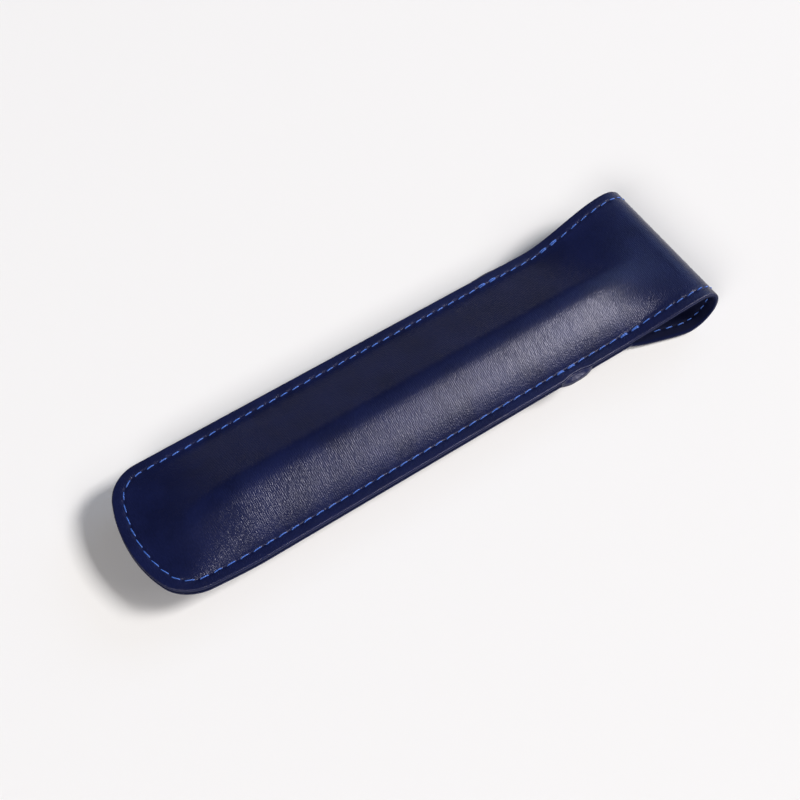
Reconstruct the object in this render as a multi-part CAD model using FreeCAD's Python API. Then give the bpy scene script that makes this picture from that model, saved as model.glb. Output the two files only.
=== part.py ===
"""Leather sleeve for one pen, lying on its front face with its flap tucked under a keeper band.

Units are millimetres. X runs from the rounded bottom end to the fold, Y across, Z up. The model is laid out
with the bottom end at X = 0 and is centred on its length when it is written.
"""
import FreeCAD, Part
import math
import os

Vector = FreeCAD.Vector

# Outline of the sleeve, seen from above
pocket_length = 132.5
neck_length = 20.8
neck_lead = 6.5
body_width = 38.4
fold_width = 41.8
corner_radius = 9.9
end_radius = 36.0

# Leather, lining and the glue lines between them
back_skin = 0.75
back_lining = 0.5
front_skin = 0.6
front_lining = 0.35
glue_line = 0.05

# Swelling of the pocket above and below its flat sewn border
dome_height = 7.0
end_dome_length = 26.0
border_past_seam = 0.5
belly_flat_depth = 0.15
belly_taper_length = 14.0
dome_power = 2
back_fullness_power = 2.4
front_fullness_power = 3

# Fold over the mouth, and the tongue that comes back under the front
fold_radius = 7.2
crest_rise = 4.6
floor_clearance = 0.5
tongue_length = 50.3
tongue_tip_radius = 8.0
tongue_tip_lead = 3.0
tongue_lift_length = 22.0
tuck_clearance = 0.2

# Keeper band across the front
band_width = 9.6
band_thickness = 1.0
band_to_mouth = 17.7
band_root_inset = 1.2
lip_drop = 0.9
band_fullness_power = 4

# Fold cut into rigid lengths that hinge on the leather's outer face
fold_segments = 3
fold_gap = 0.1

# Thread
seam_inset = 2.8
stitch_pitch = 3.34
stitch_length = 2.1
thread_width = 0.5
thread_height = 0.25
tack_gap = 0.15
tacks_per_place = 2

# Play between pieces that are sewn tight, and how far a cut runs past what it cuts
seat_gap = 0.05
overrun = 5.0

# Points that carry a smooth face, and how far the face runs past the outline it is cut to
point_spacing = 2.5
points_across = 45
face_margin = 1.0

# Sizes that follow
half_width = body_width / 2
fold_half_width = fold_width / 2
widest_half = max(half_width, fold_half_width)
fold_start = pocket_length + neck_length
neck_start = pocket_length - neck_lead
thread_stand = seat_gap + thread_height
overall_length = fold_start + fold_radius + thread_stand
back_thickness = back_skin + glue_line + back_lining
front_thickness = front_skin + glue_line + front_lining
border_top = floor_clearance + 2 * fold_radius - crest_rise
border_bottom = border_top - back_thickness - glue_line - front_thickness
fold_centre = Vector(fold_start, 0, floor_clearance + fold_radius)
segment_angle = 180 / (fold_segments + 1)
dome_half_width = half_width - seam_inset - border_past_seam
dome_start = seam_inset + border_past_seam
tongue_tip = fold_start - tongue_length
tongue_lift_start = pocket_length - band_to_mouth + band_width / 2
tongue_gap = thread_stand + tuck_clearance
band_depth = border_bottom - band_thickness - back_thickness - 2 * tongue_gap
belly_depth = border_bottom + belly_flat_depth
belly_end = tongue_tip - tongue_tip_lead
band_root = half_width - band_root_inset


def smooth(share):
    """Ease from 0 to 1 with no slope at either end."""
    held = min(max(share, 0.0), 1.0)
    return held * held * (3 - 2 * held)


def bell(share, fullness_power):
    """Swelling from 1 in the middle to 0 at the border, where it meets the border flat."""
    return max(0.0, 1 - abs(share) ** fullness_power) ** dome_power


def end_swell(x):
    """Swelling of the pocket away from its closed bottom end."""
    return bell(1 - min(max((x - dome_start) / end_dome_length, 0.0), 1.0), back_fullness_power)


def neck_share(x):
    return smooth((x - neck_start) / (fold_start - neck_start))


def back_height(x, y):
    """Outer face of the back leather: domed over the pocket, flat and raised at the fold."""
    flat = neck_share(x)
    dome = dome_height * (1 - flat) * end_swell(x) * bell(y / dome_half_width, back_fullness_power)
    return border_top + crest_rise * flat + dome


def front_height(x, y):
    """Outer face of the front leather: a belly on the table, drawn up where the tongue tucks in."""
    drawn_up = smooth((x - belly_end + belly_taper_length) / belly_taper_length)
    depth = belly_depth + (band_depth - belly_depth) * drawn_up
    dome = depth * end_swell(x) * bell(y / dome_half_width, front_fullness_power)
    return border_bottom + crest_rise * neck_share(x) - dome


def tongue_height(x, y):
    """Inner face of the tongue: flat at the fold, shaped to the front leather under the band."""
    flat = smooth((x - tongue_lift_start) / tongue_lift_length)
    tucked = front_height(min(x, neck_start), y) - tongue_gap
    return tucked + (floor_clearance + back_thickness - tucked) * flat


def places_across(half_span):
    """Even places from one side to the other."""
    return [half_span * (2 * j / (points_across - 1) - 1) for j in range(points_across)]


def height_face(height, x_from, x_to, half_span):
    """Smooth face through points of a height formula, over a rectangle seen from above."""
    columns = math.ceil((x_to - x_from) / point_spacing)
    xs = [x_from + (x_to - x_from) * i / columns for i in range(columns + 1)]
    ys = places_across(half_span)
    surface = Part.BSplineSurface()
    surface.interpolate([[Vector(x, y, height(x, y)) for y in ys] for x in xs])
    return surface.toShape()


def layer(face, offset, thickness, outline):
    """Sheet of one thickness, below (minus) or above a face moved by an offset, cut to an outline."""
    sheet = face.translated(Vector(0, 0, offset)).extrude(Vector(0, 0, thickness))
    return sheet.common(outline)


def line(start, end):
    return Part.LineSegment(start, end).toShape()


def arc_about(centre, radius, start_angle, end_angle):
    """Arc seen from above, between two angles in radians."""
    angles = [start_angle, (start_angle + end_angle) / 2, end_angle]
    points = [centre + Vector(radius * math.cos(a), radius * math.sin(a), 0) for a in angles]
    return Part.Arc(*points).toShape()


def sleeve_border(inset):
    """Edges of the sleeve from the fold down one side, round the bottom end and back up."""
    middle = half_width - corner_radius
    reach = math.sqrt((end_radius - corner_radius) ** 2 - middle ** 2)
    tangent_angle = math.atan2(middle, -reach)
    side = half_width - inset
    run = fold_start - neck_start
    corner_x = end_radius - reach
    neck_poles = []
    for step, y in enumerate([side, side, fold_half_width - inset, fold_half_width - inset]):
        neck_poles.append(Vector(neck_start + run * step / 3, y, 0))
    half = []
    neck = Part.BezierCurve()
    neck.setPoles(neck_poles)
    half.append(neck.toShape())
    half.append(line(Vector(neck_start, side, 0), Vector(corner_x, side, 0)))
    corner = Vector(corner_x, middle, 0)
    half.append(arc_about(corner, corner_radius - inset, math.pi / 2, tangent_angle))
    end = arc_about(Vector(end_radius, 0, 0), end_radius - inset, tangent_angle, 2 * math.pi - tangent_angle)
    other_half = [edge.mirror(Vector(0, 0, 0), Vector(0, 1, 0)) for edge in half]
    return half + [end] + other_half[::-1]


def tongue_border(inset):
    """Edges of the tongue from the fold, along one taper, round the tip and back."""
    tip_centre = Vector(tongue_tip + tongue_tip_radius, 0, 0)
    run = fold_start - tip_centre.x
    shoulder_distance = math.hypot(run, fold_half_width)
    taper_angle = math.atan2(fold_half_width, run) - math.asin(tongue_tip_radius / shoulder_distance)
    shoulder = Vector(fold_start, fold_half_width - inset / math.cos(taper_angle), 0)
    radius = tongue_tip_radius - inset
    tangent_angle = math.pi / 2 + taper_angle
    tangent = tip_centre + Vector(radius * math.cos(tangent_angle), radius * math.sin(tangent_angle), 0)
    taper = line(shoulder, tangent)
    tip = arc_about(tip_centre, radius, tangent_angle, 2 * math.pi - tangent_angle)
    return [taper, tip, taper.mirror(Vector(0, 0, 0), Vector(0, 1, 0))]


def prism(edges, x_end):
    """Upright block over an outline that is open at one end, closed straight across there."""
    first = Part.Wire(Part.__sortEdges__(edges))
    ends = [v.Point for v in first.OrderedVertexes]
    upper = max(ends[0], ends[-1], key=lambda p: p.y)
    lower = min(ends[0], ends[-1], key=lambda p: p.y)
    out_upper = Vector(x_end, upper.y, 0)
    out_lower = Vector(x_end, lower.y, 0)
    closing = [line(upper, out_upper), line(out_upper, out_lower), line(out_lower, lower)]
    face = Part.Face(Part.Wire(Part.__sortEdges__(edges + closing)))
    low = face.translated(Vector(0, 0, -overrun))
    return low.extrude(Vector(0, 0, border_top + crest_rise + dome_height + 2 * overrun))


def fold_point(radius, angle):
    """Point of the fold's section: angle in degrees from the crest, over the end and down."""
    turn = math.radians(angle)
    return fold_centre + Vector(radius * math.sin(turn), 0, radius * math.cos(turn))


def fold_sector(outer_radius, thickness, start_angle, end_angle, y_from, y_to):
    """Curved strip of the fold between two angles and two places across."""
    inner_radius = outer_radius - thickness
    middle = (start_angle + end_angle) / 2
    outer = [fold_point(outer_radius, a) for a in (start_angle, middle, end_angle)]
    inner = [fold_point(inner_radius, a) for a in (end_angle, middle, start_angle)]
    edges = [
        Part.Arc(*outer).toShape(),
        line(outer[2], inner[0]),
        Part.Arc(*inner).toShape(),
        line(inner[2], outer[0]),
    ]
    face = Part.Face(Part.Wire(edges)).translated(Vector(0, y_from, 0))
    return face.extrude(Vector(0, y_to - y_from, 0))


def stitch(centre, along, normal):
    """One stitch: a low rounded bar lying on a face."""
    across = normal.cross(along)
    start = centre - along * (stitch_length / 2) + normal * seat_gap
    left = start - across * (thread_width / 2)
    right = start + across * (thread_width / 2)
    section = [Part.Arc(left, start + normal * thread_height, right).toShape(), line(right, left)]
    return Part.Face(Part.Wire(section)).extrude(along * stitch_length)


def stitch_on(height, x, y, heading, side):
    """Stitch on the upper (side 1) or lower (side -1) face of a height formula, heading seen from above."""
    def point(px, py):
        return Vector(px, py, height(px, py))

    step = thread_width
    ahead = point(x + heading.x * step, y + heading.y * step)
    behind = point(x - heading.x * step, y - heading.y * step)
    left = point(x - heading.y * step, y + heading.x * step)
    right = point(x + heading.y * step, y - heading.x * step)
    along = (ahead - behind).normalize()
    normal = along.cross(left - right).normalize() * side
    return stitch(point(x, y), along, normal)


def seam_places(edges):
    """Middle and heading of each stitch along a seam, spread evenly over its length."""
    wire = Part.Wire(Part.__sortEdges__(edges))
    count = round(wire.Length / stitch_pitch)
    points = wire.discretize(Number=2 * count + 1)
    places = []
    for k in range(count):
        heading = (points[2 * k + 2] - points[2 * k]).normalize()
        places.append((points[2 * k + 1], heading))
    return places


def fold_stitches(outer_radius, start_angle, end_angle):
    """Two stitches a side in each full length of the fold, standing out from one radius."""
    stitches = []
    pitch_angle = segment_angle / 2
    half_stitch = math.degrees(stitch_length / 2 / fold_radius)
    count = round((end_angle - start_angle) / pitch_angle)
    y_middle = fold_half_width - seam_inset
    for k in range(count):
        middle = start_angle + pitch_angle * (k + 1 / 2)
        for y in (y_middle, -y_middle):
            stitches.append(fold_sector(outer_radius, thread_height, middle - half_stitch, middle + half_stitch,
                                        y - thread_width / 2, y + thread_width / 2))
    return stitches


def fold_threads(start_angle, end_angle):
    """Needle stitches outside and bobbin stitches inside one length of the fold."""
    outside = fold_stitches(fold_radius + thread_stand, start_angle, end_angle)
    inside = fold_stitches(fold_radius - back_thickness - seat_gap, start_angle, end_angle)
    return outside, inside


def fold_layers(start_angle, end_angle):
    """Outer leather and lining of one length of the fold."""
    leather = fold_sector(fold_radius, back_skin, start_angle, end_angle, -fold_half_width, fold_half_width)
    lining_radius = fold_radius - back_skin - glue_line
    lining = fold_sector(lining_radius, back_lining, start_angle, end_angle, -fold_half_width, fold_half_width)
    return leather, lining


def make_back(nodes):
    """Back leather and lining, from the bottom end to the first length of the fold."""
    face = height_face(back_height, -face_margin, fold_start, widest_half + face_margin)
    outline = prism(sleeve_border(0), fold_start + overrun)
    leather_end, lining_end = fold_layers(0, segment_angle / 2 - gap_angle)
    nodes["back_panel"] = layer(face, 0, -back_skin, outline).fuse(leather_end)
    nodes["back_lining"] = layer(face, -back_skin - glue_line, -back_lining, outline).fuse(lining_end)


def make_front(nodes):
    """Front leather and lining, closed to the mouth, with the belly flat where it lies on the table."""
    face = height_face(front_height, -face_margin, pocket_length, widest_half + face_margin)
    outline = prism(sleeve_border(0), fold_start + overrun)
    table = Part.makeBox(fold_start, body_width, overrun, Vector(0, -half_width, -overrun))
    nodes["front_panel"] = layer(face, 0, front_skin, outline).cut(table)
    nodes["front_lining"] = layer(face, front_skin + glue_line, front_lining, outline)


def make_fold(nodes):
    """Lengths of leather, lining and thread that bend one after another when the flap opens."""
    for k in range(fold_segments):
        start = segment_angle * (k + 1 / 2)
        end = start + segment_angle
        leather, lining = fold_layers(start + gap_angle, end - gap_angle)
        outside, inside = fold_threads(start, end)
        nodes[f"fold_leather_{k + 1}"] = leather
        nodes[f"fold_lining_{k + 1}"] = lining
        nodes[f"fold_thread_{k + 1}"] = Part.makeCompound(outside + inside)


def make_flap(nodes):
    """Tongue of leather and lining, from the last length of the fold to the rounded tip."""
    face = height_face(tongue_height, tongue_tip - face_margin, fold_start, widest_half + face_margin)
    outline = prism(tongue_border(0), fold_start + overrun)
    leather_end, lining_end = fold_layers(180 - segment_angle / 2 + gap_angle, 180)
    nodes["flap_lining"] = layer(face, 0, -back_lining, outline).fuse(lining_end)
    nodes["flap_panel"] = layer(face, -back_lining - glue_line, -back_skin, outline).fuse(leather_end)


def make_band(nodes):
    """Strap that leaves the side seams, passes under the tongue and is sewn at both ends."""
    seat = border_bottom - seat_gap
    depth = seat - band_thickness
    lip_inside = half_width + seat_gap
    lip_outside = lip_inside + band_thickness
    lip_top = border_top - lip_drop

    def inner(y):
        return seat - depth * bell(y / band_root, band_fullness_power)

    def outer(y):
        step = thread_width
        slope = (inner(y + step) - inner(y - step)) / (2 * step)
        return inner(y) - band_thickness * math.hypot(1, slope)

    def curve(height):
        spline = Part.BSplineCurve()
        spline.interpolate([Vector(0, y, height(y)) for y in places_across(band_root)])
        return spline.toShape()

    under = outer(band_root)
    edges = [curve(inner), curve(outer)]
    for side in (1, -1):
        corners = [
            Vector(0, side * band_root, seat),
            Vector(0, side * lip_inside, seat),
            Vector(0, side * lip_inside, lip_top),
            Vector(0, side * lip_outside, lip_top),
            Vector(0, side * lip_outside, under),
            Vector(0, side * band_root, under),
        ]
        edges += [line(corners[i], corners[i + 1]) for i in range(len(corners) - 1)]
    face = Part.Face(Part.Wire(Part.__sortEdges__(edges)))
    band_start = pocket_length - band_to_mouth - band_width / 2
    nodes["keeper_band"] = face.translated(Vector(band_start, 0, 0)).extrude(Vector(band_width, 0, 0))


def back_underside(x, y):
    return back_height(x, y) - back_thickness


def tongue_underside(x, y):
    return tongue_height(x, y) - back_thickness


def make_seam(nodes):
    """Lockstitch round the sleeve: needle thread on the back, bobbin thread on the front and in the neck."""
    outside, inside = fold_threads(0, segment_angle / 2)
    needle = list(outside)
    bobbin = []
    neck = list(inside)
    for place, heading in seam_places(sleeve_border(seam_inset)):
        needle.append(stitch_on(back_height, place.x, place.y, heading, 1))
        if place.x + stitch_length < pocket_length:
            bobbin.append(stitch_on(front_height, place.x, place.y, heading, -1))
        elif place.x - stitch_length > pocket_length:
            neck.append(stitch_on(back_underside, place.x, place.y, heading, -1))
    nodes["seam_needle_thread"] = Part.makeCompound(needle)
    nodes["seam_bobbin_thread"] = Part.makeCompound(bobbin)
    nodes["neck_bobbin_thread"] = Part.makeCompound(neck)


def make_flap_seam(nodes):
    """Lockstitch round the tongue: needle thread on its outer face, bobbin thread on its lining."""
    needle, bobbin = fold_threads(180 - segment_angle / 2, 180)
    for place, heading in seam_places(tongue_border(seam_inset)):
        needle.append(stitch_on(tongue_underside, place.x, place.y, heading, -1))
        bobbin.append(stitch_on(tongue_height, place.x, place.y, heading, 1))
    nodes["flap_needle_thread"] = Part.makeCompound(needle)
    nodes["flap_bobbin_thread"] = Part.makeCompound(bobbin)


def make_tacks(nodes):
    """Doubled stitches beside the seam, at both ends of the band and both corners of the mouth."""
    along = Vector(1, 0, 0)
    for name, x_middle in (("band_tacks", pocket_length - band_to_mouth), ("mouth_tacks", pocket_length)):
        tacks = []
        for k in range(tacks_per_place):
            x = x_middle + stitch_pitch * (k - (tacks_per_place - 1) / 2)
            widening = (fold_half_width - half_width) * neck_share(x)
            y = half_width + widening - seam_inset + thread_width + tack_gap
            tacks += [stitch_on(back_height, x, side * y, along, 1) for side in (1, -1)]
        nodes[name] = Part.makeCompound(tacks)


gap_angle = math.degrees(fold_gap / 2 / fold_radius)
made = {}
for make in (make_back, make_front, make_fold, make_flap, make_band, make_seam, make_flap_seam, make_tacks):
    make(made)

os.makedirs("parts", exist_ok=True)
for name, shape in made.items():
    shape.translated(Vector(-overall_length / 2, 0, 0)).exportStep(f"parts/{name}.step")
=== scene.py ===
"""Looks of a leather sleeve for one pen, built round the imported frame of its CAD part.

Shapes are worked out in millimetres, with X counted from the rounded bottom end as in the part's
source. Points are moved into the frame, in metres, when a mesh is made.
"""
import math
from bisect import bisect_right
from collections import namedtuple

import bmesh
import bpy
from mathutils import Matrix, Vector, noise


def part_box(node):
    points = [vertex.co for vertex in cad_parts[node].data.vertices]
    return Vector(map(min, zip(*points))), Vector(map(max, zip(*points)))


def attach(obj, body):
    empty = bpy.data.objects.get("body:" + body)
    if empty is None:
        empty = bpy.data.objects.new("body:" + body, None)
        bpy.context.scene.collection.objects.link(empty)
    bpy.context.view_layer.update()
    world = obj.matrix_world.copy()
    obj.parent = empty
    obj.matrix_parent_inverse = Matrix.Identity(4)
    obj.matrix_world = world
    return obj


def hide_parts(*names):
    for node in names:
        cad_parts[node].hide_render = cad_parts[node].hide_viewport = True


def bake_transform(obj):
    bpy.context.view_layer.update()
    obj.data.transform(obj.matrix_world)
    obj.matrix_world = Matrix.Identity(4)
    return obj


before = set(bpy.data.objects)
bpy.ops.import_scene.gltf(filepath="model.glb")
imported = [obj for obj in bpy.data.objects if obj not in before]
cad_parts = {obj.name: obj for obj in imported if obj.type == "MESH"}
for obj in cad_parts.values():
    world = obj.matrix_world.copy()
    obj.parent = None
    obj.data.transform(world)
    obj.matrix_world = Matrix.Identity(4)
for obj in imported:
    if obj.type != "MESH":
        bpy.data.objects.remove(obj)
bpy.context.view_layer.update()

# Outline of the sleeve and its tongue
pocket_length = 132.5
neck_length = 20.8
neck_lead = 6.5
half_width = 19.2
fold_half_width = 20.9
corner_radius = 9.9
end_radius = 36.0
tongue_length = 50.3
tongue_tip_radius = 8.0
tongue_shoulder_length = 2.4

# Layers of leather and lining, and the rounding of their edges
back_skin = 0.8
back_lining = 0.5
front_skin = 0.65
front_lining = 0.35
back_edge_round = 0.4
front_edge_round = 0.3
lining_edge_round = 0.22
glued_edge_round = 0.03
mouth_round = 0.5
mouth_roundness = 0.96

# Swell of both faces. A flank has the shares of its width at which its crown ends and its flare begins,
# and how much steeper it gets on the way down.
dome_height = 7.0
crown_offset = -2.2
far_flank = (0.12, 0.95, 0.0)
near_flank = (0.33, 0.985, 1.6)
steepening_power = 5
dome_power = 2.0
back_fullness_power = 2.4
front_fullness_power = 3.0
end_dome_length = 26.0
border_past_seam = 0.5
near_border_past_seam = 0.1
belly_flat_depth = 0.15
belly_taper_length = 14.0

# Fold, and what came out askew in the sewing
fold_radius = 7.2
crest_rise = 4.6
floor_clearance = 0.5
fold_skew = 1.0
end_tuck = 1.5
end_tuck_length = 26.0

# Lengths of the fold: how far each would already follow the next body where it starts, and the tabs that lap
# them
bend_share = 0.287
tab_length = 0.5
tab_tuck = 0.12

# Tongue
tongue_tip_lead = 3.0
tongue_lift_length = 22.0
tongue_gap = 0.5

# Keeper band, its lips and the nick that it makes in the near border
band_width = 9.6
band_thickness = 1.0
band_to_mouth = 17.7
band_root = 18.0
band_fullness_power = 4.0
band_seat_gap = 0.05
band_bend_radius = 0.5
strap_edge_round = 0.42
strap_lip_length = 6.0
strap_lip_thinning = 0.3
strap_map_start = 400
lip_drop = 0.65
lip_round = 0.8
lip_end_share = 0.02
lip_slope_power = 1.35
lip_lens_power = 2.8
lip_flat = 0.2
nick_depth = 0.6
nick_half_length = 5.2
nick_fullness_power = 2.0

# Seam: its plan, how its stitches lie, and the groove and dimples that they draw in the leather
seam_inset = 2.8
stitch_pitch = 3.34
stitch_slant = 0.34
fold_stitches = 8
thread_lift = 0.09
thread_depth = 0.5
thread_dive = 2.8
thread_dive_power = 4
thread_wander = 0.03
wander_apart = 1.7
wander_along = 2
wander_level = 0.3
tight_lift = 0.0
tight_end_length = 14.0
end_dive_share = 0.15
end_sink = 0.12
tack_offset = 0.34
tack_lift = 0.16
tacks_per_place = 2
tack_seed = 40
groove_half_width = 0.42
hole_power = 3
sleeve_groove = (0.10, 0.16)
folded_groove = (0.08, 0.14)

# Twisted plies of the thread
thread_radius = 0.155
thread_plies = 3
ply_turns = 2.3
ply_seed_turn = 0.37
ply_offset_share = 0.48
ply_radius_share = 0.56
stitch_map_step = 7.0

# Finish of the leather: how much its gloss varies, and how much rougher and duller its painted edge is
roughness_spread = 0.12
edge_roughness = 0.2
edge_dulling = 0.7
gloss_tint = (0.86, 0.84, 1.0, 1.0)

# Grain of the leather: the weights of what makes it up, and depths in metres
crease_weight = 0.45
fine_weight = 0.4
line_weight = 0.42
pebble_weight = 0.8
grain_depth = 0.000034
fibre_depth = 0.00004

# Camera, with its height over the border
camera_x, camera_y, camera_height = -19.9, -139.9, 257.2
aim_x, aim_y = 73.9, -1.0
camera_lens = 56.43
sensor_width = 36.0

# Fineness of the meshes
station_spacing = 0.5
outline_steps = 200
ring_insets = (4.2, 3.7, 3.4, 3.15, 2.97, 2.8, 2.63, 2.45, 2.2, 1.8, 1.3, 0.9, 0.7)
spine_steps = 16
spine_bow = 6.0
spine_bow_length = 10.0
round_steps = 4
fold_steps = 24
mouth_shares = (0.0, 0.04, 0.14, 0.3, 0.5, 0.75, 1.0)
stitch_steps = 14
ply_sides = 7
strap_flat_steps = 14
strap_round_steps = 7
strap_bend_steps = 12
strap_inner_steps = 70

# Worked out from the sizes above
fold_start = pocket_length + neck_length
neck_start = pocket_length - neck_lead
back_thickness = back_skin + back_lining
front_thickness = front_skin + front_lining
border_top = floor_clearance + 2 * fold_radius - crest_rise
border_bottom = border_top - back_thickness - band_seat_gap - front_thickness
fold_z = floor_clearance + fold_radius
dome_half_width = half_width - seam_inset - border_past_seam
near_half_width = half_width - seam_inset - near_border_past_seam
dome_start = seam_inset + border_past_seam
tongue_tip = fold_start - tongue_length
tongue_turn = fold_start + math.pi * fold_radius
band_middle = pocket_length - band_to_mouth
band_depth = border_bottom - band_thickness - back_thickness - 2 * tongue_gap
tongue_lift_start = band_middle + band_width / 2
belly_depth = border_bottom + belly_flat_depth
belly_end = tongue_tip - tongue_tip_lead

mm = 0.001
frame_end_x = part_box("back_panel")[0].x

# A place on an edge: its plan, the way inwards, its stitch along the seam, and how far a tab is tucked in
Station = namedtuple("Station", "x y inward_x inward_y stitch tuck", defaults=(0.0,))
# A line round a layer: its inset, share of the way to the spine, depth, face (1 outer, -1 inner) and paint
Ring = namedtuple("Ring", "inset spine depth face edge")
# How a layer lies: its place, its spine, its map's length, and the depths of its seam's groove and dimples
Shape = namedtuple("Shape", "place spine along groove dimple")


def to_frame(point):
    """A point in millimetres from the bottom end, as a point of the frame in metres."""
    x, y, z = point
    return Vector((frame_end_x + x * mm, y * mm, z * mm))


def as_sewn(point):
    """A point of the sleeve as it was sewn: the fold a little askew and one corner of the end drawn in."""
    x, y, z = point
    y += end_tuck * (1 - smooth(x / end_tuck_length)) * max(0.0, -y / half_width) ** 2
    x += fold_skew * neck_share(x) * (y / fold_half_width + 1) / 2
    return to_frame((x, y, z))


def linear(red, green, blue):
    """A colour read off a screen as 0 to 255, as the linear values that shaders take."""
    shares = [value / 255 for value in (red, green, blue)]
    return [s / 12.92 if s <= 0.04045 else ((s + 0.055) / 1.055) ** 2.4 for s in shares] + [1.0]


def smooth(share):
    """A step from 0 to 1 that starts and ends level."""
    share = min(1.0, max(0.0, share))
    return share * share * (3 - 2 * share)


def bell(share, fullness):
    """A swell from 1 in the middle to 0 at a share of 1 on either side."""
    return max(0.0, 1 - abs(share) ** fullness) ** dome_power


def end_swell(x):
    """Rise of both faces from the rounded end to their full swell."""
    share = min(1.0, max(0.0, (x - dome_start) / end_dome_length))
    return bell(1 - share, back_fullness_power)


def neck_share(x):
    """How far the pocket's section has gone over into the wide flat fold."""
    return smooth((x - neck_start) / (fold_start - neck_start))


def edge_at(x):
    """Half the width of the sleeve beside its pocket and neck."""
    return half_width + (fold_half_width - half_width) * neck_share(x)


def flank_fall(share, crown_share, flare_share, steepening):
    """Fall from a rounded crown down a flank, even or ever steeper, that flares out into the border."""
    share = min(1.0, share)
    crown = min(1.0, share / crown_share)
    flare = max(0.0, (share - flare_share) / (1 - flare_share))
    fall = crown_share * (crown ** 3 - crown ** 4 / 2) + max(0.0, share - crown_share)
    fall += steepening * share ** steepening_power / steepening_power
    return fall - (1 + steepening) * (1 - flare_share) * (flare ** 3 - flare ** 4 / 2)


def back_height(x, y):
    """Outer face of the back leather, which is the top as the sleeve lies."""
    flat = neck_share(x)
    if y > crown_offset:
        share, flank = (y - crown_offset) / (dome_half_width - crown_offset), far_flank
    else:
        share, flank = (crown_offset - y) / (near_half_width + crown_offset), near_flank
    across = 1 - flank_fall(share, *flank) / flank_fall(1.0, *flank)
    dome = dome_height * (1 - flat) * end_swell(x) * across
    return border_top + crest_rise * flat + dome


def front_height(x, y):
    """Outer face of the front leather, before the table flattens it."""
    taper = smooth((x - belly_end + belly_taper_length) / belly_taper_length)
    depth = belly_depth + (band_depth - belly_depth) * taper
    swell = depth * end_swell(x) * bell(y / dome_half_width, front_fullness_power)
    return border_bottom + crest_rise * neck_share(x) - swell


def tongue_height(x, y):
    """Outer face of the tongue, which is its underside as the sleeve lies."""
    tucked = front_height(min(x, neck_start), y) - tongue_gap - back_thickness
    lift = smooth((x - tongue_lift_start) / tongue_lift_length)
    return tucked + (floor_clearance - tucked) * lift


def strap_nick(x, y):
    """How far the strap draws in the border's near edge where it passes it."""
    return nick_depth * bell((x - band_middle) / nick_half_length, nick_fullness_power) if y < 0 else 0.0


def back_place(x, y, depth):
    """A point of the back leather or its lining, whose near border is nicked by the strap."""
    past_seam = smooth((abs(y) - half_width + seam_inset) / seam_inset)
    return (x, y + strap_nick(x, y) * past_seam, back_height(x, y) - depth)


def front_place(x, y, depth):
    """A point of the front leather or its lining, whose shared edge at the mouth is rounded."""
    share = min(1.0, max(0.0, (x - pocket_length) / mouth_round + 1))
    middle = front_thickness / 2
    depth = middle + (depth - middle) * math.sqrt(1 - mouth_roundness * share * share)
    return (x, y, max(0.0, front_height(x, y)) + depth)


def tongue_place(x, y, depth):
    """A point of the tongue's leather or its lining."""
    return (x, y, tongue_height(x, y) + depth)


def fold_place(x, y, depth):
    """A point of the fold, where x runs on along the outer face past the end of the neck."""
    turn = (x - fold_start) / fold_radius
    radius = fold_radius - depth
    return (fold_start + radius * math.sin(turn), y, fold_z + radius * math.cos(turn))


def unchanged(x):
    return x


def along_tongue(x):
    """Length along the strip of leather, past the fold, at a place of the tongue."""
    return tongue_turn + fold_start - x


def sleeve_spine(x):
    """Where an edge station's line inwards meets the middle, bowed away from the rounded end."""
    return x + spine_bow * math.exp(-x / spine_bow_length)


def tongue_spine(x):
    """The same for the tongue, bowed away from its tip."""
    return tongue_tip + sleeve_spine(x - tongue_tip)


def resampled(points, spacing):
    """Points at even distances along a line through many points."""
    lengths = [0.0]
    for (x0, y0), (x1, y1) in zip(points, points[1:]):
        lengths.append(lengths[-1] + math.hypot(x1 - x0, y1 - y0))
    count = max(2, round(lengths[-1] / spacing))
    even = []
    for number in range(count + 1):
        wanted = lengths[-1] * number / count
        index = min(len(points) - 2, bisect_right(lengths, wanted) - 1)
        share = (wanted - lengths[index]) / (lengths[index + 1] - lengths[index])
        (x0, y0), (x1, y1) = points[index], points[index + 1]
        even.append((x0 + (x1 - x0) * share, y0 + (y1 - y0) * share))
    return even


def arc_points(centre_x, centre_y, radius, first, last):
    """Points on an arc between two angles."""
    turns = [first + (last - first) * number / outline_steps for number in range(outline_steps + 1)]
    return [(centre_x + radius * math.cos(turn), centre_y + radius * math.sin(turn)) for turn in turns]


def sleeve_half_outline():
    """The sleeve's edge on the +Y side, from the fold to the middle of the rounded end."""
    middle = half_width - corner_radius
    reach = math.sqrt((end_radius - corner_radius) ** 2 - middle ** 2)
    corner_x = end_radius - reach
    tangent = math.atan2(middle, -reach)
    shares = [number / outline_steps for number in range(outline_steps + 1)]
    xs = [fold_start + (neck_start - fold_start) * share for share in shares]
    points = [(x, edge_at(x)) for x in xs]
    points += arc_points(corner_x, middle, corner_radius, math.pi / 2, tangent)
    points += arc_points(end_radius, 0.0, end_radius, tangent, math.pi)[1:]
    return points


def tongue_half_outline():
    """The tongue's edge on the +Y side, from the fold to the middle of its tip."""
    centre_x = tongue_tip + tongue_tip_radius
    run = fold_start - tongue_shoulder_length - centre_x
    distance = math.hypot(run, fold_half_width)
    taper = math.atan2(fold_half_width, run) - math.asin(tongue_tip_radius / distance)
    tangent_x = centre_x - tongue_tip_radius * math.sin(taper)
    points = []
    for number in range(outline_steps + 1):
        gone = (fold_start - tangent_x) * number / outline_steps
        straight = gone - tongue_shoulder_length * (1 - math.exp(-gone / tongue_shoulder_length))
        points.append((fold_start - gone, fold_half_width - math.tan(taper) * straight))
    return points + arc_points(centre_x, 0.0, tongue_tip_radius, math.pi / 2 + taper, math.pi)[1:]


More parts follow.
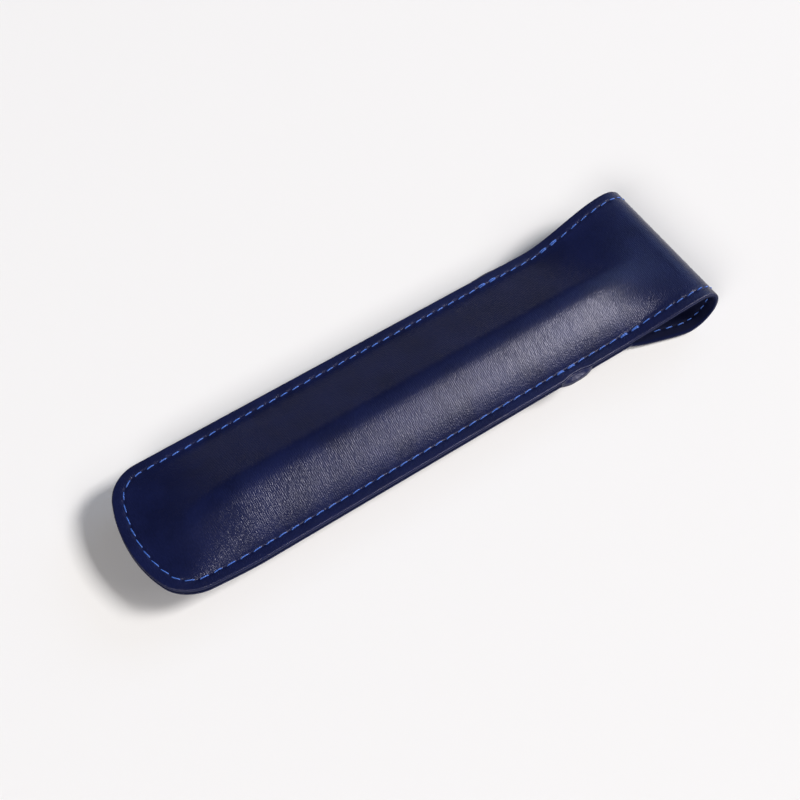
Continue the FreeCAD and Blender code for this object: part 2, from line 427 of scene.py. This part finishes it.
def edge_stations(half_outline):
    """Stations round an edge from the fold on +Y to the fold on -Y, counted in stitches of its seam."""
    half = resampled(half_outline, station_spacing)
    half[-1] = (half[-1][0], 0.0)
    points = half + [(x, -y) for x, y in reversed(half[:-1])]
    inwards = [(0.0, -1.0)]
    for before, after in zip(points, points[2:]):
        run_x, run_y = after[0] - before[0], after[1] - before[1]
        size = math.hypot(run_x, run_y)
        inwards.append((-run_y / size, run_x / size))
    inwards.append((0.0, 1.0))
    seam = [(x + in_x * seam_inset, y + in_y * seam_inset) for (x, y), (in_x, in_y) in zip(points, inwards)]
    lengths = [0.0]
    for before, after in zip(seam, seam[1:]):
        lengths.append(lengths[-1] + math.dist(before, after))
    pitch = lengths[-1] / round(lengths[-1] / stitch_pitch)
    return [
        Station(x, y, inward[0], inward[1], length / pitch)
        for (x, y), inward, length in zip(points, inwards, lengths)
    ]


def fold_stations(first, last):
    """Stations along both edges of the fold between two shares of its half turn, with a tab at each end.

    The tabs are thinner and lie inside the next lengths, so that no gap shows when the fold opens.
    """
    tab = tab_length / (math.pi * fold_radius)
    turns = [(last + tab, tab_tuck), (last, tab_tuck)]
    turns += [(last + (first - last) * number / fold_steps, 0.0) for number in range(fold_steps + 1)]
    turns += [(first, tab_tuck), (first - tab, tab_tuck)]
    far = [
        Station(fold_start + math.pi * fold_radius * t, fold_half_width, 0.0, -1.0, t * fold_stitches, tuck)
        for t, tuck in turns
    ]
    return far + [s._replace(y=-s.y, inward_y=1.0) for s in reversed(far)]


def front_stations(stations):
    """The part of the sleeve's edge that the front leather has, ended exactly at the mouth."""
    kept = [s for s in stations if s.x < pocket_length - mouth_round - station_spacing / 2]
    far = []
    for share in mouth_shares:
        x = pocket_length - mouth_round * share
        stitch = kept[0].stitch - (x - kept[0].x) / stitch_pitch
        far.append(Station(x, edge_at(x), 0.0, -1.0, stitch))
    total = stations[-1].stitch
    near = [s._replace(y=-s.y, inward_y=1.0, stitch=total - s.stitch) for s in reversed(far)]
    return far + kept + near


def layer_rings(depth, thickness, outer_round, inner_round):
    """Rings round one layer's section: its outer face, its edge and its inner face."""
    rings = [Ring(ring_insets[0], 1 - step / spine_steps, depth, 1, 0.0) for step in range(spine_steps)]
    rings += [Ring(inset, 0.0, depth, 1, 0.0) for inset in ring_insets]
    for step in range(round_steps + 1):
        turn = math.pi / 2 * step / round_steps
        inset = outer_round * (1 - math.sin(turn))
        painted = float(step > round_steps / 2)
        rings.append(Ring(inset, 0.0, depth + outer_round * (1 - math.cos(turn)), 0, painted))
    bottom = depth + thickness
    for step in range(round_steps, -1, -1):
        turn = math.pi / 2 * step / round_steps
        inset = inner_round * (1 - math.sin(turn))
        rings.append(Ring(inset, 0.0, bottom - inner_round * (1 - math.cos(turn)), 0, 1.0))
    rings += [Ring(inset, 0.0, bottom, -1, 0.0) for inset in reversed(ring_insets)]
    rings += [Ring(ring_insets[0], step / spine_steps, bottom, -1, 0.0) for step in range(1, spine_steps + 1)]
    return rings


def seam_sink(inset, stitch, groove, dimple):
    """How far the thread draws the face in: a groove along the seam and a dimple at each needle hole."""
    across = (inset - seam_inset) / groove_half_width
    hole = (0.5 + 0.5 * math.cos(2 * math.pi * stitch)) ** hole_power
    return math.exp(-across * across) * (groove + dimple * hole)


def new_piece(name, places, faces, leather_map, edges, material, creased=()):
    """A mesh in the frame, with its map in millimetres and its edge paint.

    It is shaded smooth, apart from the edges that join two creased places.
    """
    mesh = bpy.data.meshes.new(name)
    mesh.from_pydata([as_sewn(p) for p in places], [], faces)
    corners = [0] * len(mesh.loops)
    mesh.loops.foreach_get("vertex_index", corners)
    layer = mesh.uv_layers.new(name="leather")
    layer.data.foreach_set("uv", [value for corner in corners for value in leather_map[corner]])
    paint = mesh.attributes.new("edge_paint", "FLOAT", "POINT")
    paint.data.foreach_set("value", edges)
    build = bmesh.new()
    build.from_mesh(mesh)
    bmesh.ops.recalc_face_normals(build, faces=build.faces)
    for edge in build.edges:
        edge.smooth = not all(corner.index in creased for corner in edge.verts)
    build.to_mesh(mesh)
    build.free()
    mesh.polygons.foreach_set("use_smooth", [True] * len(mesh.polygons))
    mesh.materials.append(material)
    piece = bpy.data.objects.new(name, mesh)
    bpy.context.scene.collection.objects.link(piece)
    return piece


def without_repeats(corners):
    """A face's corners, where two that came out as one place count once."""
    return [corner for number, corner in enumerate(corners) if corner not in corners[:number]]


def tab_roots(stations):
    """Numbers of the stations at which a tab begins."""
    count = len(stations)
    return {
        number for number, station in enumerate(stations)
        if not station.tuck and (stations[number - 1].tuck or stations[(number + 1) % count].tuck)
    }


def shell(name, stations, rings, shape, material, in_two=False, capped=False):
    """One layer of leather or lining: its section's rings carried along stations round its edge."""
    count = len(stations)
    mid_depth = (rings[0].depth + rings[-1].depth) / 2
    numbers = {}
    places, leather_map, edges = [], [], []

    def vertex(ring_number, station_number):
        ring = rings[ring_number]
        if ring.spine == 1.0:
            station_number = min(station_number, count - 1 - station_number)
        key = (ring_number, station_number)
        if key in numbers:
            return numbers[key]
        station = stations[station_number]
        inset = ring.inset + station.tuck
        x = station.x + station.inward_x * inset
        y = station.y + station.inward_y * inset
        x += (shape.spine(station.x) - x) * ring.spine
        y -= y * ring.spine
        sink = seam_sink(ring.inset, station.stitch, shape.groove, shape.dimple) if ring.spine == 0 else 0.0
        depth = ring.depth + (mid_depth - ring.depth) * station.tuck
        places.append(shape.place(x, y, depth + ring.face * sink))
        leather_map.append((shape.along(x), y))
        edges.append(ring.edge)
        numbers[key] = len(places) - 1
        return numbers[key]

    faces = []
    last = len(rings) - 1
    for ring in range(last):
        for station in range(count - 1):
            if in_two and station == count // 2 - 1:
                continue
            quad = [vertex(ring, station), vertex(ring, station + 1)]
            quad += [vertex(ring + 1, station + 1), vertex(ring + 1, station)]
            faces.append(without_repeats(quad))
    for station in (0, count - 1) if capped else ():
        for ring in range(last // 2):
            quad = [vertex(ring, station), vertex(ring + 1, station)]
            quad += [vertex(last - ring - 1, station), vertex(last - ring, station)]
            faces.append(without_repeats(quad))
    roots = tab_roots(stations)
    creased = {number for (ring, station), number in numbers.items() if station in roots}
    return new_piece(name, places, faces, leather_map, edges, material, creased)


def seam_point(stations, stitch, inset):
    """Plan of the seam line, at a distance in stitches from the fold."""
    index = bisect_right([s.stitch for s in stations], stitch) - 1
    index = min(len(stations) - 2, max(0, index))
    first, second = stations[index], stations[index + 1]
    share = (stitch - first.stitch) / (second.stitch - first.stitch)
    ends = [(s.x + s.inward_x * inset, s.y + s.inward_y * inset) for s in (first, second)]
    return tuple(a + (b - a) * share for a, b in zip(*ends))


def stitch_line(place, face_depth, outwards, plan, seed, top, dive):
    """Centre line of one stitch, out of one hole and into the next, with the way up from its face."""
    line = []
    for step in range(stitch_steps + 1):
        share = step / stitch_steps
        x, y = plan(share)
        away = abs(2 * share - 1)
        wander = thread_wander * noise.noise((seed * wander_apart, share * wander_along, wander_level))
        lift = max(-thread_depth, top + wander - dive * away ** thread_dive_power)
        centre = Vector(place(x, y, face_depth - outwards * lift))
        above = Vector(place(x, y, face_depth - outwards * (lift + 1)))
        line.append((centre, (above - centre).normalized()))
    return line


def ply_surface(line, ply, seed):
    """Places and map of one ply of a stitch, ring by ring along the stitch's line."""
    places, ply_map = [], []
    for number, (centre, up) in enumerate(line):
        before, after = line[max(0, number - 1)][0], line[min(len(line) - 1, number + 1)][0]
        along = (after - before).normalized()
        across = along.cross(up).normalized()
        up = across.cross(along)
        share = number / (len(line) - 1)
        twist = 2 * math.pi * (ply / thread_plies + ply_turns * share + ply_seed_turn * seed)
        offset = (across * math.cos(twist) + up * math.sin(twist)) * thread_radius * ply_offset_share
        for side in range(ply_sides):
            turn = 2 * math.pi * side / ply_sides
            reach = (across * math.cos(turn) + up * math.sin(turn)) * thread_radius * ply_radius_share
            places.append(tuple(centre + offset + reach))
            ply_map.append((seed * stitch_map_step + share * stitch_pitch, side / ply_sides + ply))
    return places, ply_map


def tube_sides(first, rings, sides):
    """Faces round an open tube, whose places are numbered ring by ring from the first."""
    faces = []
    for ring in range(rings - 1):
        for side in range(sides):
            a, b = first + ring * sides + side, first + ring * sides + (side + 1) % sides
            faces.append((a, b, b + sides, a + sides))
    return faces


def threads(name, lines, material):
    """Stitches as plies twisted round each stitch's line."""
    places, faces, thread_map = [], [], []
    for seed, line in enumerate(lines):
        for ply in range(thread_plies):
            first, end = len(places), len(places) + (len(line) - 1) * ply_sides
            ply_places, ply_map = ply_surface(line, ply, seed)
            places += ply_places
            thread_map += ply_map
            faces += tube_sides(first, len(line), ply_sides)
            faces.append(tuple(first + side for side in range(ply_sides)))
            faces.append(tuple(end + side for side in reversed(range(ply_sides))))
    return new_piece(name, places, faces, thread_map, [0.0] * len(places), material)


def seam_lines(stations, first, last, place, face_depth, outwards):
    """The stitches of a seam between two counted ones, tighter on the far side and round the end."""
    lines = []
    for stitch in range(first, last):
        def plan(share, start=stitch):
            return seam_point(stations, start + share, seam_inset + stitch_slant * (share - 0.5))
        x, y = plan(0.5)
        round_end = 1 - smooth(x / tight_end_length)
        loose = smooth(0.5 - y / half_width) * (1 - round_end) if outwards > 0 else 0.0
        top = tight_lift + (thread_lift - tight_lift) * loose - end_sink * round_end
        dive = thread_dive * (1 - (1 - end_dive_share) * round_end)
        lines.append(stitch_line(place, face_depth, outwards, plan, stitch, top, dive))
    return lines


def tack_lines(stations, x_middle, stitches_down, place, face_depth, outwards):
    """Second strands beside the seam's own stitches, on both sides, round one place along the sleeve."""
    lines = []
    total = stations[-1].stitch
    nearest = min(stations[:len(stations) // 2], key=lambda s: abs(s.x - x_middle)).stitch
    first = round(nearest - tacks_per_place / 2) + stitches_down
    for start in range(first, first + tacks_per_place):
        for stitch, way in ((start, 1), (total - start, -1)):
            def plan(share, stitch=stitch, way=way):
                return seam_point(stations, stitch + way * share, seam_inset - tack_offset)
            seed = len(lines) + tack_seed
            lines.append(stitch_line(place, face_depth, outwards, plan, seed, tack_lift, thread_dive))
    return lines


def band_inner(y):
    """Inner face of the keeper band between its two ends."""
    seat = border_bottom - band_seat_gap
    return seat - (seat - band_thickness) * bell(y / band_root, band_fullness_power)


def strap_path():
    """The strap's inner face from one lip round to the other, as (y, z)."""
    lip_y = half_width + band_seat_gap
    seat = band_inner(lip_y)
    bend, steps = band_bend_radius, strap_bend_steps
    rise = border_top - lip_drop + lip_round / 2 - seat - bend
    half = [(lip_y, seat + bend + rise * (1 - step / steps)) for step in range(steps)]
    for step in range(steps):
        turn = math.pi / 2 * step / steps
        half.append((lip_y - bend * (1 - math.cos(turn)), seat + bend * (1 - math.sin(turn))))
    shares = [1 - step / strap_inner_steps for step in range(strap_inner_steps + 1)]
    half += [((lip_y - bend) * share, band_inner((lip_y - bend) * share)) for share in shares]
    return half + [(-y, z) for y, z in reversed(half[:-1])]


def strap_thickness(from_end):
    """Thickness of the strap, which thins towards its lip and slopes off at the very end."""
    short = max(0.0, 1 - from_end / lip_round)
    thinning = 1 - strap_lip_thinning * (1 - smooth(from_end / strap_lip_length))
    return band_thickness * thinning * (1 + lip_end_share - short ** lip_slope_power)


def strap_section(from_end):
    """Outline of the strap's section at a distance from its lip: (across, share of thickness, edge)."""
    ease = 1 - smooth(from_end / strap_lip_length)
    half = band_width / 2
    round_x = strap_edge_round + (half - strap_edge_round - lip_flat) * ease
    lens = 1 + (lip_lens_power - 1) * ease
    outer_share = strap_edge_round / band_thickness + (1 - strap_edge_round / band_thickness) * ease
    inner_share = (1 - outer_share) * strap_edge_round / band_thickness
    steps, flat = strap_round_steps, strap_flat_steps
    points = []
    for step in range(flat + 1):
        points.append(((half - round_x) * (1 - 2 * step / flat), 1.0, 0.0))
    for step in range(1, steps + 1):
        turn = math.pi / 2 * step / steps
        share = (1 - outer_share * (1 - math.cos(turn))) ** lens
        points.append((round_x - half - round_x * math.sin(turn), share, 1.0 - ease))
    for step in range(steps + 1):
        turn = math.pi / 2 * step / steps
        across = -half + strap_edge_round * (1 - math.cos(turn))
        points.append((across, inner_share * (1 - math.sin(turn)), 1.0))
    mirrored = [(-x, share, edge) for x, share, edge in reversed(points[flat + 1:])]
    within = [((half - strap_edge_round) * (2 * step / flat - 1), 0.0, 0.0) for step in range(1, flat)]
    return points + within + mirrored


def zipped(first, second, places):
    """Triangles between two rows of places, both in order along X, to close the slit between them."""
    triangles = []
    a = b = 0
    while a + b < len(first) + len(second) - 2:
        first_done, second_done = a == len(first) - 1, b == len(second) - 1
        if second_done or (not first_done and places[first[a + 1]][0] <= places[second[b + 1]][0]):
            triangles.append((first[a], first[a + 1], second[b]))
            a += 1
        else:
            triangles.append((first[a], second[b + 1], second[b]))
            b += 1
    return triangles


def keeper_band(material):
    """The strap across the front: a rounded section carried from one lip round to the other."""
    path = strap_path()
    lengths = [0.0]
    for before, after in zip(path, path[1:]):
        lengths.append(lengths[-1] + math.dist(before, after))
    places, leather_map, edges = [], [], []
    for number, (y, z) in enumerate(path):
        before, after = path[max(0, number - 1)], path[min(len(path) - 1, number + 1)]
        run_y, run_z = after[0] - before[0], after[1] - before[1]
        size = math.hypot(run_y, run_z)
        out_y, out_z = -run_z / size, run_y / size
        from_end = min(lengths[number], lengths[-1] - lengths[number])
        thickness = strap_thickness(from_end)
        for x, share, edge in strap_section(from_end):
            depth = thickness * share
            place_y, place_z = y + out_y * depth, z + out_z * depth
            past_border = smooth((place_z - border_top + back_thickness) / (back_thickness - lip_drop))
            lean = strap_nick(band_middle + x, place_y) * past_border
            places.append((band_middle + x, place_y + lean, place_z))
            leather_map.append((lengths[number] + strap_map_start, x))
            edges.append(edge)
    around = len(places) // len(path)
    faces = tube_sides(0, len(path), around)
    tip = strap_flat_steps + strap_round_steps
    outer_row = list(range(tip, -1, -1)) + list(range(around - 1, around - 1 - strap_round_steps, -1))
    inner_row = list(range(tip + 1, around - strap_round_steps))
    for first in (0, len(places) - around):
        faces += zipped([first + k for k in outer_row], [first + k for k in inner_row], places)
    return new_piece("keeper_strap", places, faces, leather_map, edges, material)


class Nodes:
    """A material's node tree, with short calls to add and join nodes."""

    def __init__(self, name):
        self.material = bpy.data.materials.new(name)
        self.material.use_nodes = True
        self.tree = self.material.node_tree
        self.shader = self.tree.nodes["Principled BSDF"]

    def put(self, node, key, value):
        """Sets one of a node's inputs, or joins another node's output to it."""
        if isinstance(value, bpy.types.NodeSocket):
            self.tree.links.new(value, node.inputs[key])
        else:
            node.inputs[key].default_value = value

    def add(self, kind, inputs=(), **settings):
        """A new node with its settings and inputs."""
        node = self.tree.nodes.new(kind)
        for key, value in settings.items():
            setattr(node, key, value)
        for key, value in dict(inputs).items():
            self.put(node, key, value)
        return node

    def mixed(self, data_type, factor, first, second):
        """First blended into second by factor, as colours or as vectors."""
        node = self.add("ShaderNodeMix", data_type=data_type)
        sockets = [s for s in node.inputs if s.enabled]
        for socket, value in zip(sockets, (factor, first, second)):
            if isinstance(value, bpy.types.NodeSocket):
                self.tree.links.new(value, socket)
            else:
                socket.default_value = value
        return next(s for s in node.outputs if s.enabled)

    def ramp(self, factor, stops):
        """A colour ramp through stops of a position and a colour."""
        node = self.add("ShaderNodeValToRGB", {"Fac": factor})
        elements = node.color_ramp.elements
        while len(elements) < len(stops):
            elements.new(0.5)
        for element, (position, colour) in zip(elements, stops):
            element.position = position
            element.color = colour
        return node.outputs["Color"]

    def math(self, operation, *values):
        """A number worked out from others."""
        node = self.add("ShaderNodeMath", operation=operation)
        for number, value in enumerate(values):
            self.put(node, number, value)
        return node.outputs[0]

    def weighed(self, *terms):
        """The sum of values, each times its weight."""
        weighed = [self.math("MULTIPLY", value, weight) for value, weight in terms]
        total = weighed[0]
        for term in weighed[1:]:
            total = self.math("ADD", total, term)
        return total


def grey(value):
    return (value, value, value, 1.0)


def grain_height(nodes, place, drawn, fine):
    """Height of the grain: creases, fine noise and drawn-out lines, and pebbles towards the seams."""
    warp = nodes.add("ShaderNodeTexNoise", {"Vector": drawn, "Scale": 1.1, "Detail": 2.0})
    bent = nodes.mixed("VECTOR", 0.12, drawn, warp.outputs["Color"])
    cells = nodes.add(
        "ShaderNodeTexVoronoi", {"Vector": bent, "Scale": 2.7, "Randomness": 0.8},
        feature="DISTANCE_TO_EDGE",
    )
    creases = nodes.ramp(cells.outputs["Distance"], [(0.03, grey(0.0)), (0.2, grey(1.0))])
    lines = nodes.add(
        "ShaderNodeTexWave",
        {"Vector": drawn, "Scale": 0.66, "Distortion": 3.5, "Detail": 2.0, "Detail Scale": 2.5},
        bands_direction="X",
    )
    across = nodes.add("ShaderNodeSeparateXYZ", {"Vector": place}).outputs["Y"]
    beside_seam = nodes.add(
        "ShaderNodeMapRange", {"Value": nodes.math("ABSOLUTE", across), "From Min": 8.0, "From Max": 15.0})
    pebbles = nodes.add(
        "ShaderNodeTexVoronoi", {"Vector": place, "Scale": 2.0, "Randomness": 0.9},
        feature="DISTANCE_TO_EDGE",
    )
    pebbled = nodes.ramp(pebbles.outputs["Distance"], [(0.02, grey(0.0)), (0.26, grey(1.0))])
    pebble_share = nodes.math("MULTIPLY", beside_seam.outputs["Result"], pebble_weight)
    return nodes.weighed(
        (creases, crease_weight), (fine, fine_weight),
        (lines.outputs["Fac"], line_weight), (pebbled, pebble_share),
    )


def leather_material(name, dark, pale, edge, roughness, shine, grain):
    """Dyed calf: uneven tone, fine grain drawn out across the sleeve, and a painted edge."""
    nodes = Nodes(name)
    place = nodes.add("ShaderNodeUVMap", uv_map="leather").outputs["UV"]
    drawn = nodes.add("ShaderNodeMapping", {"Vector": place, "Scale": (1.0, 0.32, 1.0)}).outputs["Vector"]
    cloud = nodes.add("ShaderNodeTexNoise", {"Vector": place, "Scale": 0.09, "Detail": 4.0, "Roughness": 0.6})
    noisy = nodes.add("ShaderNodeTexNoise", {"Vector": drawn, "Scale": 2.9, "Detail": 3.0, "Roughness": 0.55})
    fine = noisy.outputs["Fac"]
    tone = nodes.weighed((cloud.outputs["Fac"], 0.7), (fine, 0.3))
    base = nodes.ramp(tone, [(0.36, dark), (0.66, pale)])
    paint = nodes.add("ShaderNodeAttribute", attribute_name="edge_paint").outputs["Fac"]
    nodes.put(nodes.shader, "Base Color", nodes.mixed("RGBA", paint, base, edge))
    height = grain_height(nodes, place, drawn, fine)
    bump = nodes.add("ShaderNodeBump", {"Height": height, "Strength": grain, "Distance": grain_depth})
    nodes.put(nodes.shader, "Normal", bump.outputs["Normal"])
    uneven = nodes.weighed((fine, roughness_spread), (paint, edge_roughness))
    nodes.put(nodes.shader, "Roughness", nodes.math("ADD", uneven, roughness - roughness_spread / 2))
    dull = nodes.math("MULTIPLY", paint, -edge_dulling * shine)
    nodes.put(nodes.shader, "Specular IOR Level", nodes.math("ADD", dull, shine))
    nodes.put(nodes.shader, "Specular Tint", gloss_tint)
    return nodes.material


def thread_material(dark, pale):
    """Polyester thread with fine fibres along each ply, whose pale end is painted as bright as the thread's
    highlights: partly the fibres' own tone, partly painted highlight.
    """
    nodes = Nodes("thread")
    place = nodes.add("ShaderNodeUVMap", uv_map="leather").outputs["UV"]
    fibre = nodes.add("ShaderNodeTexNoise", {"Vector": place, "Scale": 6.0, "Detail": 3.0}).outputs["Fac"]
    # The ramp runs from the thread's own blue to a pale blue painted as bright as its highlights, scattered
    # by the fibre noise: partly fibre tone, partly painted highlight.
    nodes.put(nodes.shader, "Base Color", nodes.ramp(fibre, [(0.32, dark), (0.7, pale)]))
    nodes.put(nodes.shader, "Roughness", 0.36)
    bump = nodes.add("ShaderNodeBump", {"Height": fibre, "Strength": 0.3, "Distance": fibre_depth})
    nodes.put(nodes.shader, "Normal", bump.outputs["Normal"])
    return nodes.material


leather = leather_material(
    "navy_leather", dark=linear(8, 15, 50), pale=linear(17, 25, 67), edge=linear(16, 24, 62),
    roughness=0.34, shine=0.5, grain=1.0)
lining = leather_material(
    "navy_lining", dark=linear(10, 14, 38), pale=linear(16, 21, 50), edge=linear(15, 21, 52),
    roughness=0.6, shine=0.12, grain=0.3)
# The thread's pale colour is painted highlight as much as the fibres' own tone.
thread = thread_material(dark=linear(10, 36, 126), pale=linear(100, 154, 255))

sleeve_edge = edge_stations(sleeve_half_outline())
tongue_edge = edge_stations(tongue_half_outline())
mouth_edge = front_stations(sleeve_edge)

back_shape = Shape(back_place, sleeve_spine, unchanged, *sleeve_groove)
front_shape = Shape(front_place, sleeve_spine, unchanged, *sleeve_groove)
tongue_shape = Shape(tongue_place, tongue_spine, along_tongue, *folded_groove)
fold_shape = Shape(fold_place, unchanged, unchanged, *folded_groove)

skin_rings = layer_rings(0.0, back_skin, back_edge_round, glued_edge_round)
lining_rings = layer_rings(back_skin, back_lining, glued_edge_round, lining_edge_round)
front_skin_rings = layer_rings(0.0, front_skin, front_edge_round, glued_edge_round)
front_lining_rings = layer_rings(front_skin, front_lining, glued_edge_round, glued_edge_round)

sleeve_stitches = round(sleeve_edge[-1].stitch)
tongue_stitches = round(tongue_edge[-1].stitch)
front_first = math.ceil(mouth_edge[0].stitch)
front_last = math.floor(mouth_edge[-1].stitch)
# The face that stitches lie on: its depth in the leather, and which way is out of it
outside, inside = (0.0, 1), (back_thickness, -1)


def dress_sleeve():
    """The pieces that stay with the sleeve, and those of the tongue."""
    top_lines = seam_lines(sleeve_edge, 0, sleeve_stitches, back_place, *outside)
    front_lines = seam_lines(sleeve_edge, front_first, front_last, front_place, *outside)
    neck_lines = seam_lines(sleeve_edge, 0, front_first, back_place, *inside)
    neck_lines += seam_lines(sleeve_edge, front_last, sleeve_stitches, back_place, *inside)
    band_tacks = tack_lines(sleeve_edge, band_middle, 1, back_place, *outside)
    mouth_tacks = tack_lines(sleeve_edge, pocket_length, 0, back_place, *outside)
    outer_lines = seam_lines(tongue_edge, 0, tongue_stitches, tongue_place, *outside)
    inner_lines = seam_lines(tongue_edge, 0, tongue_stitches, tongue_place, *inside)
    rides = [
        (shell("back_leather", sleeve_edge, skin_rings, back_shape, leather),
         "sleeve", ["back_panel"]),
        (shell("back_inside", sleeve_edge, lining_rings, back_shape, lining),
         "sleeve", ["back_lining"]),
        (shell("front_leather", mouth_edge, front_skin_rings, front_shape, leather, capped=True),
         "sleeve", ["front_panel"]),
        (shell("front_inside", mouth_edge, front_lining_rings, front_shape, lining, capped=True),
         "sleeve", ["front_lining"]),
        (shell("tongue_leather", tongue_edge, skin_rings, tongue_shape, leather),
         "flap", ["flap_panel"]),
        (shell("tongue_inside", tongue_edge, lining_rings, tongue_shape, lining),
         "flap", ["flap_lining"]),
        (keeper_band(leather), "sleeve", ["keeper_band"]),
        (threads("seam_top_thread", top_lines, thread), "sleeve", ["seam_needle_thread"]),
        (threads("seam_front_thread", front_lines, thread), "sleeve", ["seam_bobbin_thread"]),
        (threads("neck_inner_thread", neck_lines, thread), "sleeve", ["neck_bobbin_thread"]),
        (threads("band_tack_thread", band_tacks, thread), "sleeve", ["band_tacks"]),
        (threads("mouth_tack_thread", mouth_tacks, thread), "sleeve", ["mouth_tacks"]),
        (threads("tongue_outer_thread", outer_lines, thread), "flap", ["flap_needle_thread"]),
        (threads("tongue_inner_thread", inner_lines, thread), "flap", ["flap_bobbin_thread"]),
    ]
    for piece, body, nodes in rides:
        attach(piece, body)
        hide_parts(*nodes)


fold_bodies = ("sleeve", "fold_1", "fold_2", "fold_3", "flap")
bends = len(fold_bodies) - 1


def bend_reach(number):
    """Where a length of the fold would follow only the body before it, and the way to where only the next."""
    start, end = [
        as_sewn(fold_place(fold_start + math.pi * fold_radius * share, 0.0, 0.0))
        for share in (number / bends, (number + 1) / bends)
    ]
    low_share = 0.0 if number == 0 else bend_share
    high_share = 1.0 if number == bends - 1 else 1 - bend_share
    reach = (end - start) / (high_share - low_share)
    reach.y = -reach.x * fold_skew / (2 * fold_half_width)
    return start - low_share * reach, reach


def dress_bend(number):
    """One length of the fold in leather, lining and thread, left where it was made in place of the part's own
    fold pieces.
    """
    first, last = number / bends, (number + 1) / bends
    stations = fold_stations(first, last)
    first_stitch, last_stitch = round(first * fold_stitches), round(last * fold_stitches)
    lines = []
    for side in (1, -1):
        edge = sorted((s for s in stations if s.y * side > 0 and not s.tuck), key=lambda s: s.stitch)
        lines += seam_lines(edge, first_stitch, last_stitch, fold_place, *outside)
        lines += seam_lines(edge, first_stitch, last_stitch, fold_place, *inside)
    label = f"bend_{number + 1}"
    made = {
        "leather": shell(
            f"fold_leather_{label}", stations, skin_rings, fold_shape, leather, in_two=True),
        "lining": shell(
            f"fold_lining_{label}", stations, lining_rings, fold_shape, lining, in_two=True),
        "thread": threads(f"fold_thread_{label}", lines, thread),
    }
    start, reach = bend_reach(number)
    stands_for = min(number + 1, bends - 1)
    for kind, piece in made.items():
        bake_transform(piece)
        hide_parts(f"fold_{kind}_{stands_for}")


def floor(side, top, colour):
    """A pale table under the sleeve."""
    mesh = bpy.data.meshes.new("table_top")
    corners = [(-side, -side, top), (side, -side, top), (side, side, top), (-side, side, top)]
    mesh.from_pydata(corners, [], [(0, 1, 2, 3)])
    nodes = Nodes("table_white")
    nodes.put(nodes.shader, "Base Color", colour)
    nodes.put(nodes.shader, "Roughness", 0.9)
    nodes.put(nodes.shader, "Specular IOR Level", 0.0)
    mesh.materials.append(nodes.material)
    plane = bpy.data.objects.new("table_top", mesh)
    bpy.context.scene.collection.objects.link(plane)


def soft_box(name, span_x, span_y, height, radiance, tint):
    """A level soft box over the table. Its spans are the tangents of the angles at which it is seen."""
    lamp = bpy.data.lights.new(name, "AREA")
    lamp.shape = "RECTANGLE"
    lamp.color = tint
    lamp.size = (span_x[1] - span_x[0]) * height
    lamp.size_y = (span_y[1] - span_y[0]) * height
    lamp.energy = radiance * math.pi * lamp.size * lamp.size_y
    box = bpy.data.objects.new(name, lamp)
    box.location = (sum(span_x) / 2 * height, sum(span_y) / 2 * height, height)
    bpy.context.scene.collection.objects.link(box)


def room(colour):
    """Faint even light from all round."""
    world = bpy.data.worlds.new("room")
    world.use_nodes = True
    world.node_tree.nodes["Background"].inputs["Color"].default_value = colour
    bpy.context.scene.world = world


def camera():
    """The photographer's place: above the near side of the rounded end."""
    data = bpy.data.cameras.new("camera")
    data.lens = camera_lens
    data.sensor_width = sensor_width
    eye = bpy.data.objects.new("camera", data)
    eye.location = to_frame((camera_x, camera_y, border_top + camera_height))
    target = to_frame((aim_x, aim_y, border_top))
    eye.rotation_euler = (target - eye.location).to_track_quat("-Z", "Y").to_euler()
    bpy.context.scene.collection.objects.link(eye)
    bpy.context.scene.camera = eye


def lights():
    """A warm key with a dimmer skirt, a fill from the near left, and cool boxes over and beside the fold."""
    warm, cool, blue = (1.0, 0.985, 0.965), (0.6, 0.8, 1.0), (0.45, 0.64, 1.0)
    soft_box("key_box", (0.7, 1.2), (-0.73, -0.33), 8.0, 43.5, warm)
    soft_box("key_skirt", (0.7, 1.2), (-1.6, -0.73), 8.0, 4.6, warm)
    soft_box("fill_box", (-2.0, -0.8), (-1.5, -0.5), 5.0, 9.0, warm)
    soft_box("top_box", (0.5, 1.3), (0.2, 0.9), 8.0, 0.2, cool)
    soft_box("side_box", (1.3, 3.5), (-0.3, 1.0), 3.0, 2.2, blue)
    room((0.06, 0.06, 0.068, 1.0))


dress_sleeve()
for number in range(bends):
    dress_bend(number)
floor(side=3.0, top=-0.00005, colour=linear(247, 245, 244))
lights()
camera()
bpy.context.scene.view_settings.view_transform = "Standard"
